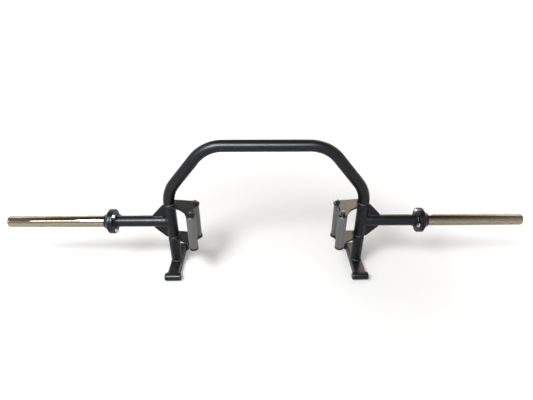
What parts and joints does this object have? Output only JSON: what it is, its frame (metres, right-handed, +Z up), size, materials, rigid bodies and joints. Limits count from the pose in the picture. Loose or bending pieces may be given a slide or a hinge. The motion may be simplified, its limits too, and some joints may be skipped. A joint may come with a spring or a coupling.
{
  "type": "open trap bar",
  "caption": "Open-ended trap bar: a bent tube frame open at one end, flange-mounted plate sleeves, paired low and high knurled grips, and jack feet it stands upright on.",
  "frame": {"origin": "centre of the bounding box's bottom face: on the floor under the bar as it stands on its feet, midway between the sleeve ends and between the front and the rear foot bars", "axes": "+X along the sleeves to the right as seen from the side with the raised grips, -Y towards the raised grips, +Z up along the arms to the closed end of the frame"},
  "size_m": [2.216, 0.2496, 0.6138],
  "materials": {
    "black_powder_coat": "semi-gloss black powder coat",
    "sleeve_chrome": "polished chrome",
    "grip_steel": "bare knurled steel",
    "zinc_plate": "bright zinc plate",
    "black_oxide": "black oxide on steel"
  },
  "bodies": {
    "root": {"u_frame": "black_powder_coat", "stub_tube_left": "black_powder_coat", "gusset_upper_left": "black_powder_coat", "gusset_lower_left": "black_powder_coat", "stub_flange_left": "black_powder_coat", "sleeve_hub_left": "black_powder_coat", "flange_bolt_left_1": "zinc_plate", "flange_washer_left_1": "zinc_plate", "flange_bolt_left_2": "zinc_plate", "flange_washer_left_2": "zinc_plate", "flange_bolt_left_3": "zinc_plate", "flange_washer_left_3": "zinc_plate", "sleeve_tube_left": "sleeve_chrome", "sleeve_cap_left": "sleeve_chrome", "handle_plate_upper_left": "black_powder_coat", "handle_plate_lower_left": "black_powder_coat", "grip_low_left": "grip_steel", "grip_bolt_low_left": "black_oxide", "grip_nut_low_left": "black_oxide", "grip_washer_low_upper_left": "black_oxide", "grip_washer_low_lower_left": "black_oxide", "grip_high_left": "grip_steel", "grip_bolt_high_left": "black_oxide", "grip_nut_high_left": "black_oxide", "grip_washer_high_upper_left": "black_oxide", "grip_washer_high_lower_left": "black_oxide", "foot_channel_left": "black_powder_coat", "foot_bar_left": "black_powder_coat", "foot_bar_rear_left": "black_powder_coat", "stub_tube_right": "black_powder_coat", "gusset_upper_right": "black_powder_coat", "gusset_lower_right": "black_powder_coat", "stub_flange_right": "black_powder_coat", "sleeve_hub_right": "black_powder_coat", "flange_bolt_right_1": "zinc_plate", "flange_washer_right_1": "zinc_plate", "flange_bolt_right_2": "zinc_plate", "flange_washer_right_2": "zinc_plate", "flange_bolt_right_3": "zinc_plate", "flange_washer_right_3": "zinc_plate", "sleeve_tube_right": "sleeve_chrome", "sleeve_cap_right": "sleeve_chrome", "handle_plate_upper_right": "black_powder_coat", "handle_plate_lower_right": "black_powder_coat", "grip_low_right": "grip_steel", "grip_bolt_low_right": "black_oxide", "grip_nut_low_right": "black_oxide", "grip_washer_low_upper_right": "black_oxide", "grip_washer_low_lower_right": "black_oxide", "grip_high_right": "grip_steel", "grip_bolt_high_right": "black_oxide", "grip_nut_high_right": "black_oxide", "grip_washer_high_upper_right": "black_oxide", "grip_washer_high_lower_right": "black_oxide", "foot_channel_right": "black_powder_coat", "foot_bar_right": "black_powder_coat", "foot_bar_rear_right": "black_powder_coat"}
  },
  "joints": []
}
